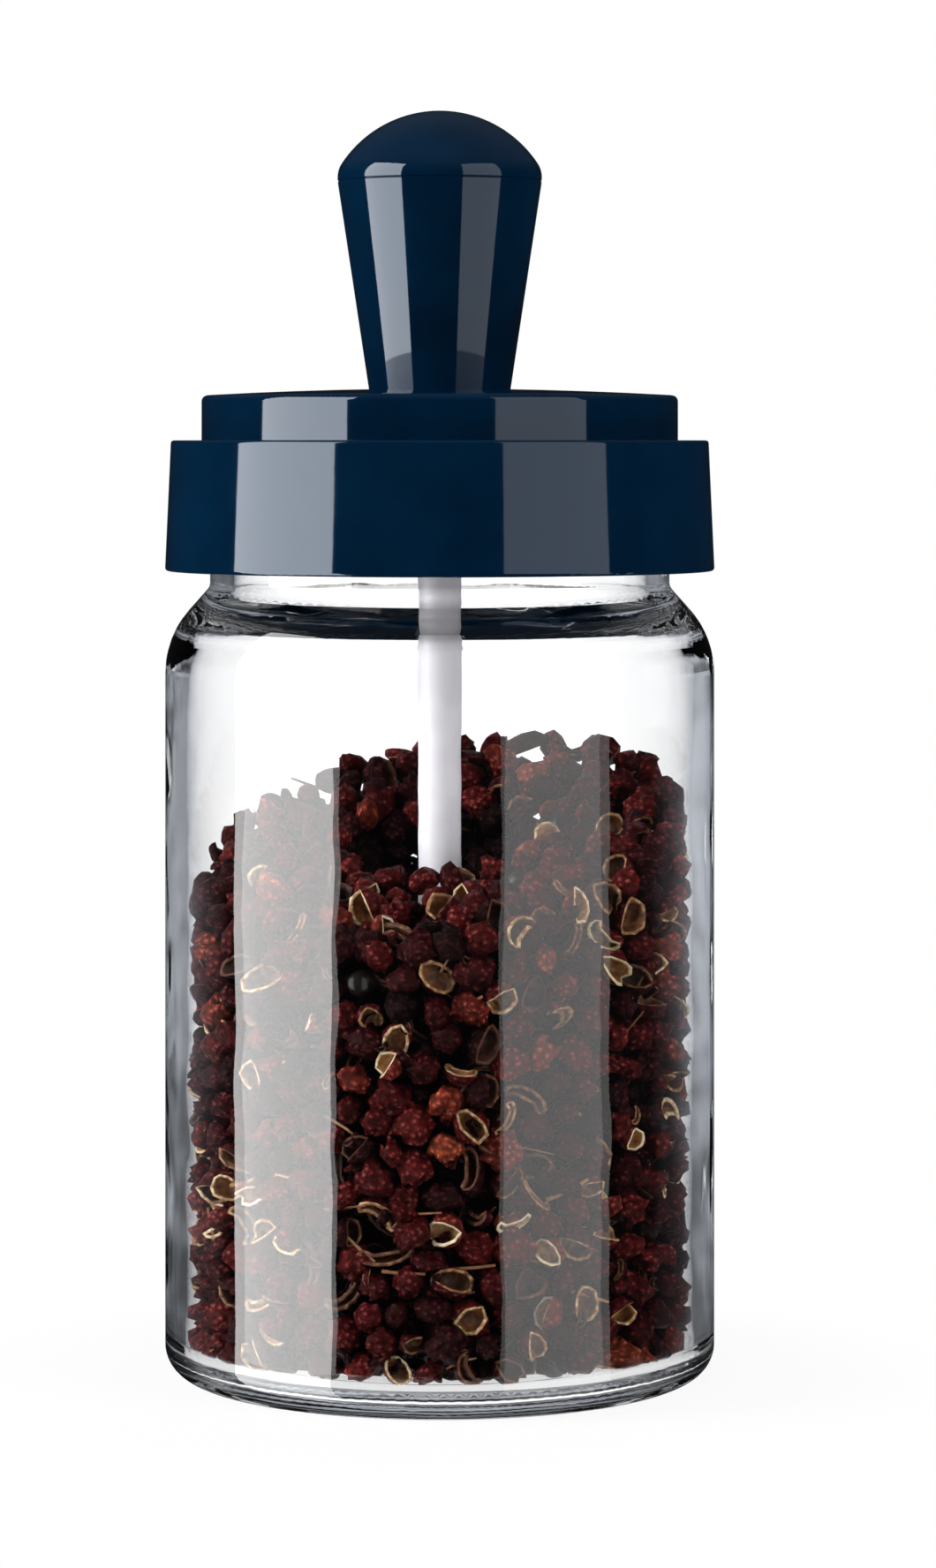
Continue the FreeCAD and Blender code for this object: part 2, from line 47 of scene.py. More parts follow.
def linear(code):
    """An sRGB hex colour as the linear colour that a socket takes."""
    parts = [int(code[i:i + 2], 16) / 255 for i in (1, 3, 5)]
    curve = [p / 12.92 if p <= 0.04045 else ((p + 0.055) / 1.055) ** 2.4 for p in parts]
    return (*curve, 1.0)


def feed(tree, node, inputs):
    """Fills inputs of a node: with a value, a socket to link, or a node to link by its first output."""
    for name, value in inputs.items():
        if isinstance(value, bpy.types.Node):
            value = value.outputs[0]
        if isinstance(value, bpy.types.NodeSocket):
            tree.links.new(value, node.inputs[name])
        else:
            node.inputs[name].default_value = value


def add(tree, kind, inputs=None, stops=None, **settings):
    """Adds one node with its settings, its colour stops and what its inputs take."""
    node = tree.nodes.new(kind)
    for name, value in settings.items():
        setattr(node, name, value)
    if stops:
        elements = node.color_ramp.elements
        while len(elements) < len(stops):
            elements.new(1.0)
        for element, (place, code) in zip(elements, stops):
            element.position = place
            element.color = linear(code)
    feed(tree, node, inputs or {})
    return node


def new_material(name):
    """A new material, its tree, its shader and the Object coordinates of the piece that wears it."""
    material = bpy.data.materials.new(name)
    material.use_nodes = True
    tree = material.node_tree
    place = add(tree, "ShaderNodeTexCoord").outputs["Object"]
    return material, tree, tree.nodes["Principled BSDF"], place


def per_mm(size):
    """The scale that makes a pattern's cell this many millimetres wide on Object coordinates in metres."""
    return 1 / (size * MM)


def dress(node_name, material):
    """Gives a CAD node its finish."""
    slots = nodes[node_name].data.materials
    slots.clear()
    slots.append(material)


# Camera, as the photograph was taken

# Lens and sensor in millimetres, places in metres, column and row in pixels of the photograph
PHOTO_WIDTH, PHOTO_HEIGHT = 1060, 1776
LENS_LENGTH = 112.5
SENSOR_WIDTH = 36.0
CAMERA_AWAY = 0.626
CAMERA_HEIGHT = 0.1189
AXIS_COLUMN = 498.0
EYE_ROW = 505.0

bpy.ops.object.select_all(action="DESELECT")
bpy.ops.object.camera_add(location=(0, -CAMERA_AWAY, CAMERA_HEIGHT), rotation=(math.pi / 2, 0, 0))
camera = bpy.context.object
camera.data.lens = LENS_LENGTH
camera.data.sensor_width = SENSOR_WIDTH
camera.data.shift_x = (PHOTO_WIDTH / 2 - AXIS_COLUMN) / PHOTO_HEIGHT
camera.data.shift_y = (EYE_ROW - PHOTO_HEIGHT / 2) / PHOTO_HEIGHT
scene.camera = camera


# Studio: two tall softboxes, white surroundings and a pale floor

# Places and sizes in metres, angles in degrees off the camera's direction
SOFTBOX_AWAY = 0.90
SOFTBOX_HEIGHT = 1.5
PATCH_HEIGHT = 0.4
PATCH_SIZE = 0.45
LAMP_GAP = 1.01
JAR_MIDDLE = 0.08
TOP_PATCH = Vector((0, -0.3, 0.95))
TOP_LEVEL = 4.0
BACK_ANGLE = 165
BACK_LEVEL = 7.0


def panel_lamp(name, middle, width, height, level, kind):
    """A flat lamp of the given radiance that faces the jar and shows to one kind of rays only."""
    facing = Vector((-middle.x, -middle.y, JAR_MIDDLE - middle.z)).to_track_quat("-Z", "Y").to_euler()
    bpy.ops.object.light_add(type="AREA", location=middle, rotation=facing)
    lamp = bpy.context.object
    lamp.name = f"{name}_{kind}"
    lamp.data.shape = "RECTANGLE"
    lamp.data.size = width
    lamp.data.size_y = height
    lamp.data.energy = level * math.pi * width * height
    lamp.visible_camera = False
    lamp.visible_glossy = kind == "glossy"
    lamp.visible_transmission = kind == "transmission"
    lamp.visible_diffuse = kind == "diffuse"


def stand(angle, height):
    """The place of a lamp at this angle off the camera's direction."""
    turn = math.radians(angle)
    return Vector((math.sin(turn), -math.cos(turn), height / SOFTBOX_AWAY)) * SOFTBOX_AWAY


def softbox(name, from_angle, to_angle, outer_level, inner_level, patch_angle, patch_level):
    """A tall panel between two angles off the camera's direction.

    It is one lamp as gloss mirrors it and one, a little behind, as the inner face of the glass
    mirrors it. Its bright patch lights matt surfaces.
    """
    near, far = stand(from_angle, JAR_MIDDLE), stand(to_angle, JAR_MIDDLE)
    width = (far - near).length
    middle = (near + far) / 2
    panel_lamp(name, middle, width, SOFTBOX_HEIGHT, outer_level, "glossy")
    panel_lamp(name, middle * LAMP_GAP, width * LAMP_GAP, SOFTBOX_HEIGHT, inner_level, "transmission")
    panel_lamp(name, stand(patch_angle, PATCH_HEIGHT), PATCH_SIZE, PATCH_SIZE, patch_level, "diffuse")


softbox("softbox_left", from_angle=-44, to_angle=-93, outer_level=7.2, inner_level=2.8,
        patch_angle=-76, patch_level=14.0)
softbox("softbox_right", from_angle=26, to_angle=73, outer_level=1.35, inner_level=1.2,
        patch_angle=55, patch_level=6.0)
panel_lamp("softbox_top", TOP_PATCH, PATCH_SIZE, PATCH_SIZE, TOP_LEVEL, "diffuse")
panel_lamp("softbox_back", stand(BACK_ANGLE, PATCH_HEIGHT), PATCH_SIZE, PATCH_SIZE, BACK_LEVEL, "diffuse")

# Levels of the surroundings, where 1 is white
CLEAR_LEVEL = 1.25
CEILING_LEVEL = 0.22
STREAK_DARK, STREAK_BRIGHT = 0.35, 1.65
TURNED_LEFT, TURNED_RIGHT = 0.3, 0.5
TURNED_FRONT, TURNED_BACK = 0.03, 1.0
MIRROR_LEVEL, MIRROR_TOP = 0.01, 0.11
AMBIENT_LEVEL = 0.03

# Where those levels change, as parts of a direction one unit long
CLEAR_ENDS, CEILING_STARTS = 0.25, 0.55
LEFT_ENDS, RIGHT_STARTS = -0.6, 0.6
FRONT_ENDS, BACK_STARTS = 0.25, 0.9
MIRROR_ENDS, TOP_STARTS = 0.2, 0.8

# A ray that has met gloss or a matt surface at least once has a depth over this
MET_ONCE = 0.5


def light_surroundings():
    """White all round up to a dark ceiling, as the eye and the glass show it.

    What gloss mirrors is dark under a dim ceiling, so that the navy stays deep. Light that was
    turned round inside the glass comes from the dark sides of the studio, and matt surfaces get
    only a little light from all round.
    """
    world = bpy.data.worlds.new("studio")
    scene.world = world
    world.use_nodes = True
    tree = world.node_tree
    tree.nodes.clear()
    rays = add(tree, "ShaderNodeLightPath").outputs
    place = add(tree, "ShaderNodeTexCoord").outputs["Generated"]
    way = add(tree, "ShaderNodeSeparateXYZ", {0: place}).outputs
    turned = add(tree, "ShaderNodeMath", {0: rays["Glossy Depth"], 1: MET_ONCE}, operation="GREATER_THAN")
    scattered = add(tree, "ShaderNodeMath", {0: rays["Diffuse Depth"], 1: MET_ONCE}, operation="GREATER_THAN")

    streak = add(tree, "ShaderNodeTexWave", {"Vector": place, "Scale": 1.6, "Distortion": 3.0, "Detail": 2.0},
                 bands_direction="Z")
    patchy = add(tree, "ShaderNodeMapRange", {"Value": streak.outputs["Fac"], "To Min": STREAK_DARK,
                                              "To Max": STREAK_BRIGHT})
    overhead = add(tree, "ShaderNodeMath", {0: patchy, 1: CEILING_LEVEL}, operation="MULTIPLY")
    ceiling = add(tree, "ShaderNodeMapRange", {"Value": way["Z"], "From Min": CLEAR_ENDS,
                                               "From Max": CEILING_STARTS, "To Min": CLEAR_LEVEL,
                                               "To Max": overhead})

    sides = add(tree, "ShaderNodeMapRange", {"Value": way["X"], "From Min": LEFT_ENDS,
                                             "From Max": RIGHT_STARTS, "To Min": TURNED_LEFT,
                                             "To Max": TURNED_RIGHT})
    front = add(tree, "ShaderNodeMapRange", {"Value": way["Y"], "From Min": FRONT_ENDS,
                                             "From Max": BACK_STARTS, "To Min": TURNED_FRONT,
                                             "To Max": TURNED_BACK})
    shade = add(tree, "ShaderNodeMath", {0: sides, 1: front}, operation="MULTIPLY")
    dim = add(tree, "ShaderNodeMath", {0: shade, 1: patchy}, operation="MULTIPLY")
    through = add(tree, "ShaderNodeMix", {"Factor": turned, "A": ceiling, "B": dim})

    mirror = add(tree, "ShaderNodeMapRange", {"Value": way["Z"], "From Min": MIRROR_ENDS,
                                              "From Max": TOP_STARTS, "To Min": MIRROR_LEVEL,
                                              "To Max": MIRROR_TOP})
    glossy = add(tree, "ShaderNodeMix", {"Factor": rays["Is Transmission Ray"], "A": mirror, "B": through})
    seen = add(tree, "ShaderNodeMix", {"Factor": rays["Is Camera Ray"], "A": glossy, "B": 1.0})
    strength = add(tree, "ShaderNodeMix", {"Factor": scattered, "A": seen, "B": AMBIENT_LEVEL})
    tint = add(tree, "ShaderNodeValToRGB", {0: turned}, stops=[(0.0, "#ffffff"), (1.0, "#e9eef7")])
    sky = add(tree, "ShaderNodeBackground", {"Color": tint, "Strength": strength})
    add(tree, "ShaderNodeOutputWorld", {"Surface": sky})


light_surroundings()

FLOOR_RADIUS = 0.3
FLOOR_SIDES = 96
FLOOR_DROP = 0.0002
FLOOR_TURNED = 0.85
FOOT_RADIUS = 0.04
SHADOW_STARTS, SHADOW_ENDS = 0.034, 0.07
SHADOW_WHITE = 0.9


# Matt white paper: it stays white to the eye and through the glass, with a faint shadow at the jar's foot.
# Light that was turned round inside the glass meets it only under the jar.
def white_paper():
    paper, tree, shader, place = new_material("matt_white_paper")
    tree.nodes.remove(shader)
    rays = add(tree, "ShaderNodeLightPath").outputs
    turned = add(tree, "ShaderNodeMath", {0: rays["Glossy Depth"], 1: MET_ONCE}, operation="GREATER_THAN")
    scattered = add(tree, "ShaderNodeMath", {0: rays["Diffuse Depth"], 1: MET_ONCE}, operation="GREATER_THAN")
    away = add(tree, "ShaderNodeVectorMath", {0: place}, operation="LENGTH").outputs["Value"]
    clear = add(tree, "ShaderNodeMapRange", {"Value": away, "From Min": SHADOW_STARTS,
                                             "From Max": SHADOW_ENDS, "To Min": SHADOW_WHITE,
                                             "To Max": 1.0})
    fibre = add(tree, "ShaderNodeTexNoise", {"Vector": place, "Scale": per_mm(0.8), "Detail": 3.0})
    tint = add(tree, "ShaderNodeValToRGB", {0: fibre}, stops=[(0.3, "#f2f2f2"), (0.7, "#fafafa")])
    matt = add(tree, "ShaderNodeBsdfDiffuse", {"Color": tint, "Roughness": 0.9})
    white = add(tree, "ShaderNodeEmission", {"Color": linear("#ffffff"), "Strength": 1.0})
    eyed = add(tree, "ShaderNodeMixShader", {0: clear, 1: matt, 2: white})
    under = add(tree, "ShaderNodeMath", {0: away, 1: FOOT_RADIUS}, operation="LESS_THAN")
    grey = add(tree, "ShaderNodeEmission", {"Color": linear("#ffffff"), "Strength": FLOOR_TURNED})
    gone = add(tree, "ShaderNodeBsdfTransparent")
    foot = add(tree, "ShaderNodeMixShader", {0: under, 1: gone, 2: grey})
    mirrored = add(tree, "ShaderNodeMixShader", {0: turned, 1: eyed, 2: foot})
    mixed = add(tree, "ShaderNodeMixShader", {0: scattered, 1: mirrored, 2: matt})
    feed(tree, tree.nodes["Material Output"], {"Surface": mixed})
    return paper


bpy.ops.object.select_all(action="DESELECT")
bpy.ops.mesh.primitive_circle_add(vertices=FLOOR_SIDES, radius=FLOOR_RADIUS, fill_type="NGON",
                                  location=(0, 0, -FLOOR_DROP))
floor = bpy.context.object
floor.name = "paper_floor"
floor.data.materials.append(white_paper())
floor.visible_glossy = False


# Finishes of the rigid pieces

# Soda-lime glass, blown in a mould and fire polished: clear, a little wavy, and dark where the eye looks
# along the wall.
def blown_glass():
    glass, tree, shader, place = new_material("soda_lime_glass_blown")
    edge_on = add(tree, "ShaderNodeLayerWeight", {"Blend": 0.5}).outputs["Facing"]
    along = add(tree, "ShaderNodeValToRGB", {0: edge_on},
                stops=[(0.0, "#ffffff"), (0.7, "#fbfcfd"), (0.9, "#dfe6ec"), (1.0, "#d2dbe4")])
    wave = add(tree, "ShaderNodeTexNoise", {"Vector": place, "Scale": per_mm(16), "Detail": 1.5})
    ripple = add(tree, "ShaderNodeBump", {"Height": wave, "Strength": 0.33, "Distance": 0.6 * MM})
    feed(tree, shader, {"Base Color": along, "Normal": ripple, "Roughness": 0.0, "IOR": 1.52,
                        "Transmission Weight": 1.0})
    return glass


# Glossy ABS, injection moulded and dyed through: a deep navy with a near-mirror skin and a faint haze.
def moulded_navy():
    navy, tree, shader, place = new_material("navy_abs_moulded_gloss")
    cloud = add(tree, "ShaderNodeTexNoise", {"Vector": place, "Scale": per_mm(9), "Detail": 3.0})
    body = add(tree, "ShaderNodeValToRGB", {0: cloud}, stops=[(0.35, "#021d34"), (0.65, "#02223b")])
    haze = add(tree, "ShaderNodeMapRange", {"Value": cloud, "To Min": 0.03, "To Max": 0.07})
    flow = add(tree, "ShaderNodeTexNoise", {"Vector": place, "Scale": per_mm(5), "Detail": 2.0})
    sink = add(tree, "ShaderNodeBump", {"Height": flow, "Strength": 0.05, "Distance": 0.1 * MM})
    feed(tree, shader, {"Base Color": body, "Roughness": haze, "Normal": sink, "IOR": 1.54,
                        "Specular Tint": linear("#e3eefb")})
    return navy


# White polypropylene, injection moulded: waxy, slightly see-through, a soft gloss.
def moulded_white():
    white, tree, shader, place = new_material("white_polypropylene_moulded")
    wax = add(tree, "ShaderNodeTexNoise", {"Vector": place, "Scale": per_mm(3), "Detail": 3.0})
    milk = add(tree, "ShaderNodeValToRGB", {0: wax}, stops=[(0.3, "#e9e7ee"), (0.7, "#f1f0f5")])
    soft = add(tree, "ShaderNodeMapRange", {"Value": wax, "To Min": 0.28, "To Max": 0.42})
    skin = add(tree, "ShaderNodeBump", {"Height": wax, "Strength": 0.1, "Distance": 0.1 * MM})
    feed(tree, shader, {"Base Color": milk, "Roughness": soft, "Normal": skin, "IOR": 1.49,
                        "Subsurface Weight": 0.15, "Subsurface Radius": (0.9, 0.9, 1.0),
                        "Subsurface Scale": 1.0 * MM})
    return white


# Silicone rubber, compression moulded: milky and matt with a dusty bloom.
def moulded_silicone():
    silicone, tree, shader, place = new_material("silicone_rubber_moulded")
    bloom = add(tree, "ShaderNodeTexNoise", {"Vector": place, "Scale": per_mm(2), "Detail": 4.0})
    milk = add(tree, "ShaderNodeValToRGB", {0: bloom}, stops=[(0.3, "#dcdfe2"), (0.7, "#e9ebed")])
    dust = add(tree, "ShaderNodeMapRange", {"Value": bloom, "To Min": 0.5, "To Max": 0.7})
    feed(tree, shader, {"Base Color": milk, "Roughness": dust, "IOR": 1.41})
    return silicone


# Zinc plated steel, barrel plated after cold heading: bluish bright metal with fine rubbed marks.
def plated_steel():
    zinc, tree, shader, place = new_material("zinc_plated_steel_headed")
    rub = add(tree, "ShaderNodeTexNoise", {"Vector": place, "Scale": per_mm(0.5), "Detail": 4.0})
    plate = add(tree, "ShaderNodeValToRGB", {0: rub}, stops=[(0.3, "#a9b0b6"), (0.7, "#c3c9ce")])
    worn = add(tree, "ShaderNodeMapRange", {"Value": rub, "To Min": 0.22, "To Max": 0.4})
    feed(tree, shader, {"Base Color": plate, "Roughness": worn, "Metallic": 1.0})
    return zinc


finishes = (
    (blown_glass(), ("glass_jar",)),
    (moulded_navy(), ("screw_collar", "lid_cap", "knob_body", "knob_dome")),
    (moulded_white(), ("spoon",)),
    (moulded_silicone(), ("neck_gasket", "lid_seal")),
    (plated_steel(), ("knob_screw", "screw_washer")),
)
for finish, names in finishes:
    for name in names:
        dress(name, finish)

# The lamps' light passes the clear glass and reaches the husks and the spoon.
nodes["glass_jar"].visible_shadow = False


# Finishes of the peppercorns

# Oil glands lie closer together on a real husk, too fine to show in the render, and are drawn coarser here.
GLAND = 0.85


def toned(tree, pattern):
    """The mean of a grain's tone, which holds painted shade for grains behind the heap's outer layer, and a
    pattern.
    """
    tone = add(tree, "ShaderNodeAttribute", attribute_name="tone").outputs["Fac"]
    both = add(tree, "ShaderNodeMath", {0: tone, 1: pattern}, operation="ADD")
    return add(tree, "ShaderNodeMath", {0: both, 1: 0.5}, operation="MULTIPLY")


# Dried pepper husk: leathery maroon skin, wrinkled in drying and pimpled all over by oil glands, with painted
# shade and highlights on its relief.
def dried_husk():
    husk, tree, shader, place = new_material("pepper_husk_dried")
    tone = add(tree, "ShaderNodeAttribute", attribute_name="tone").outputs["Fac"]
    # The darkest stops are reached mostly by grains whose tone was cut down as painted shade.
    skin = add(tree, "ShaderNodeValToRGB", {0: tone},
               stops=[(0.0, "#080203"), (0.12, "#190408"), (0.3, "#33060b"), (0.5, "#4a0c0e"),
                      (0.7, "#5c1614"), (0.85, "#803220"), (1.0, "#9f502d")])
    gland = add(tree, "ShaderNodeTexVoronoi", {"Vector": place, "Scale": per_mm(GLAND)}).outputs["Distance"]
    crease = add(tree, "ShaderNodeTexNoise", {"Vector": place, "Scale": per_mm(1.4), "Detail": 4.0,
                                              "Roughness": 0.6})
    # Painted shade and light: the skin's colour is darkened in the creases and between the glands and
    # lightened on the pimples' tops, by the same relief that the bump draws.
    pit = add(tree, "ShaderNodeMapRange", {"Value": gland, "From Min": 0.1, "From Max": 0.75,
                                           "To Min": 1.35, "To Max": 0.3})
    fold = add(tree, "ShaderNodeMapRange", {"Value": crease, "From Min": 0.3, "From Max": 0.7,
                                            "To Min": 0.45, "To Max": 1.5})
    relief_and_shade = add(tree, "ShaderNodeMath", {0: pit, 1: fold}, operation="MULTIPLY")
    skin_with_painted_shade = add(tree, "ShaderNodeVectorMath", {0: skin, "Scale": relief_and_shade}, operation="SCALE")
    # Painted highlight: pinkish glints on the gland tips, stronger on paler grains, stand in for light caught
    # on the pimples; dried gland tips are also a little paler.
    glint_tip = add(tree, "ShaderNodeMapRange", {"Value": gland, "From Min": 0.08, "From Max": 0.35,
                                           "To Min": 1.0, "To Max": 0.0})
    worn = add(tree, "ShaderNodeMath", {0: glint_tip, 1: tone}, operation="MULTIPLY")
    glint_colour = add(tree, "ShaderNodeVectorMath", {0: linear("#8a5755")[:3], "Scale": worn}, operation="SCALE")
    colour = add(tree, "ShaderNodeVectorMath", {0: skin_with_painted_shade, 1: glint_colour}, operation="ADD")
    bumpy = add(tree, "ShaderNodeMath", {0: relief_and_shade, 1: 0.5}, operation="MULTIPLY")
    relief = add(tree, "ShaderNodeBump", {"Height": bumpy, "Strength": 1.0, "Distance": 0.5 * MM})
    waxy = add(tree, "ShaderNodeMapRange", {"Value": crease, "To Min": 0.3, "To Max": 0.6})
    feed(tree, shader, {"Base Color": colour, "Roughness": waxy, "Normal": relief, "IOR": 1.46,
                        "Specular IOR Level": 0.25, "Specular Tint": linear("#d9a597")})
    return husk


# Inside of a split husk: smooth and parchment-like, from dark brown to pale tan.
def husk_lining():
    lining, tree, shader, place = new_material("husk_lining_parchment")
    fibre = add(tree, "ShaderNodeTexNoise", {"Vector": place, "Scale": per_mm(0.9), "Detail": 4.0})
    tan = add(tree, "ShaderNodeValToRGB", {0: toned(tree, fibre)},
              stops=[(0.25, "#1f0d08"), (0.42, "#56311b"), (0.55, "#946438"), (0.7, "#d4ae76")])
    ribs = add(tree, "ShaderNodeBump", {"Height": fibre, "Strength": 0.5, "Distance": 0.2 * MM})
    feed(tree, shader, {"Base Color": tan, "Normal": ribs, "Roughness": 0.45, "IOR": 1.48})
    return lining


# Split edge of a husk: a pale cream lip where the dried wall is torn through.
def husk_lip():
    lip, tree, shader, place = new_material("husk_lip_dried")
    fray = add(tree, "ShaderNodeTexNoise", {"Vector": place, "Scale": per_mm(0.7), "Detail": 3.0})
    cream = add(tree, "ShaderNodeValToRGB", {0: toned(tree, fray)},
                stops=[(0.36, "#4f2a1a"), (0.48, "#a3774b"), (0.58, "#dcc79c"), (0.72, "#f2e7ca")])
    torn = add(tree, "ShaderNodeBump", {"Height": fray, "Strength": 0.5, "Distance": 0.15 * MM})
    feed(tree, shader, {"Base Color": cream, "Normal": torn, "Roughness": 0.55, "IOR": 1.48})
    return lip


# Pepper seed: hard, nearly black and glossy coat with faint netting.
def hard_seed_coat():
    seed_coat, tree, shader, place = new_material("pepper_seed_coat")
    net = add(tree, "ShaderNodeTexVoronoi", {"Vector": place, "Scale": per_mm(0.4)}).outputs["Distance"]
    black = add(tree, "ShaderNodeValToRGB", {0: net}, stops=[(0.2, "#17100f"), (0.8, "#0b0808")])
    grain = add(tree, "ShaderNodeBump", {"Height": net, "Strength": 0.3, "Distance": 0.1 * MM})
    feed(tree, shader, {"Base Color": black, "Normal": grain, "Roughness": 0.22, "IOR": 1.5})
    return seed_coat


# Pepper stalk: dry thin bark, brown to straw, with rough ridges.
def stalk_bark():
    bark, tree, shader, place = new_material("pepper_stalk_bark")
    ridge = add(tree, "ShaderNodeTexNoise", {"Vector": place, "Scale": per_mm(0.6), "Detail": 4.0})
    brown = add(tree, "ShaderNodeValToRGB", {0: toned(tree, ridge)},
                stops=[(0.2, "#4f2a1a"), (0.5, "#8a5a3c"), (0.8, "#b98c62")])
    rough = add(tree, "ShaderNodeBump", {"Height": ridge, "Strength": 0.7, "Distance": 0.15 * MM})
    feed(tree, shader, {"Base Color": brown, "Normal": rough, "Roughness": 0.7, "IOR": 1.46})
    return bark


whole_finish = [dried_husk()]
shell_finish = whole_finish + [husk_lining(), husk_lip()]
seed_finish = [hard_seed_coat()]
stalk_finish = [stalk_bark()]


# Models of each kind of grain, about 1 in radius

# Lengths in radii of the ball that a model starts from. OUTWARD is how far a dent follows the surface's
# own direction, and EASE is how much the shell is smoothed.
DENT_OUTWARD = 0.5
SEAM_STARTS, SEAM_HALF = 0.5, 0.3
SPLIT_DEPTH = 0.92
SPLIT_WALL = 0.18
SHELL_DENT, SHELL_OUTWARD = 0.05, 0.4
NOTCH_STARTS, NOTCH_HALF = 0.2, 0.6
SHELL_EASE = 0.4
SHELL_WALL = 0.21
STALK_SIDES = 5
STALK_THICK = 0.085
STALK_STEPS = (0.5, 0.8, 0.7)


def start_edit():
    """Opens the model for editing, with all of it selected."""
    bpy.ops.object.mode_set(mode="EDIT")
    bpy.ops.mesh.select_all(action="SELECT")


def end_edit():
    """Closes the model again."""
    bpy.ops.object.mode_set(mode="OBJECT")


def add_ball(segments, rings):
    """A new ball to shape, alone in the selection."""
    bpy.ops.object.select_all(action="DESELECT")
    bpy.ops.mesh.primitive_uv_sphere_add(segments=segments, ring_count=rings, radius=1)


def take_model():
    """Reads the finished model as arrays that can be copied, and removes its object."""
    model = bpy.context.object
    mesh = model.data
    points = np.array([v.co for v in mesh.vertices])
    corners = np.array([v for p in mesh.polygons for v in p.vertices])
    sizes = np.array([len(p.vertices) for p in mesh.polygons])
    slots = np.array([p.material_index for p in mesh.polygons])
    bpy.data.objects.remove(model)
    bpy.data.meshes.remove(mesh)
    return points, corners, sizes, slots


def pull_in(chosen, shift):
    """Moves the points of the model that are chosen by their place."""
    start_edit()
    bpy.ops.mesh.select_all(action="DESELECT")
    end_edit()
    for v in bpy.context.object.data.vertices:
        v.select = chosen(v.co)
    bpy.ops.object.mode_set(mode="EDIT")
    bpy.ops.transform.translate(value=shift)
    end_edit()


def give_wall(thickness):
    """Gives the shell its wall: skin outside, lining inside, and a lip along its mouth."""
    for material in shell_finish:
        bpy.context.object.data.materials.append(material)
    wall = bpy.context.object.modifiers.new("wall", "SOLIDIFY")
    wall.thickness = thickness
    wall.offset = -1
    wall.material_offset = 1
    wall.material_offset_rim = 2
    bpy.ops.object.modifier_apply(modifier="wall")


def whole_husk(seed, dent, shape, cleft):
    """A closed husk: a ball that shrank unevenly, with the seam it will split along pulled in."""
    add_ball(segments=10, rings=7)
    start_edit()
    bpy.ops.transform.vertex_random(offset=dent, normal=DENT_OUTWARD, seed=seed)
    bpy.ops.transform.resize(value=shape)
    end_edit()
    pull_in(lambda at: at.x > SEAM_STARTS and abs(at.y) < SEAM_HALF, (-cleft, 0, 0))
    return take_model()


def split_husk(seed, dent, gape, spread):
    """A husk that split along its seam: a ball with a slice out of it, its two lips spread apart along +Z."""
    add_ball(segments=9, rings=5)
    start_edit()
    bpy.ops.transform.vertex_random(offset=dent, normal=DENT_OUTWARD, seed=seed)
    bpy.ops.mesh.select_all(action="DESELECT")
    end_edit()
    for face in bpy.context.object.data.polygons:
        face.select = abs(math.atan2(face.center.y, face.center.x)) < math.radians(gape) / 2
    bpy.ops.object.mode_set(mode="EDIT")
    bpy.ops.mesh.delete(type="FACE")
    bpy.ops.mesh.select_all(action="SELECT")
    bpy.ops.transform.resize(value=(SPLIT_DEPTH, spread, 1.0))
    bpy.ops.transform.rotate(value=math.pi / 2, orient_axis="Y", center_override=(0, 0, 0))
    end_edit()
    if sum(v.co.z for v in bpy.context.object.data.vertices) > 0:
        start_edit()
        bpy.ops.transform.rotate(value=math.pi, orient_axis="Y", center_override=(0, 0, 0))
        end_edit()
    give_wall(SPLIT_WALL)
    return take_model()


def open_shell(seed, mouth, shape, notch):
    """Half a husk: a cup cut off at its mouth, drawn out, with one side pulled in like a bean's."""
    add_ball(segments=14, rings=5)
    start_edit()
    bpy.ops.mesh.bisect(plane_co=(0, 0, mouth), plane_no=(0, 0, 1), clear_outer=True)
    bpy.ops.mesh.select_all(action="SELECT")
    bpy.ops.transform.vertex_random(offset=SHELL_DENT, normal=SHELL_OUTWARD, seed=seed)
    bpy.ops.transform.resize(value=shape)
    end_edit()
    pull_in(lambda at: at.y > NOTCH_STARTS and abs(at.x) < NOTCH_HALF, (0, -notch, 0))
    start_edit()
    bpy.ops.mesh.vertices_smooth(factor=SHELL_EASE, repeat=1)
    end_edit()
    give_wall(SHELL_WALL)
    return take_model()


def stalk(bend, taper):
    """A bit of stalk: a five-sided rod drawn out in three steps, each turned a little further."""
    bpy.ops.object.select_all(action="DESELECT")
    bpy.ops.mesh.primitive_circle_add(vertices=STALK_SIDES, radius=STALK_THICK, fill_type="NGON",
                                      location=(0, 0, -1))
    start_edit()
    x = 0.0
    z = -1.0
    for reach in STALK_STEPS:
        step = bend * reach * (z + 1)
        x += step
        z += reach
        bpy.ops.mesh.extrude_region_move(TRANSFORM_OT_translate={"value": (step, 0, reach)})
        bpy.ops.transform.resize(value=(taper, taper, taper), center_override=(x, 0, z))
    bpy.ops.mesh.select_all(action="SELECT")
    bpy.ops.mesh.normals_make_consistent(inside=False)
    end_edit()
    return take_model()


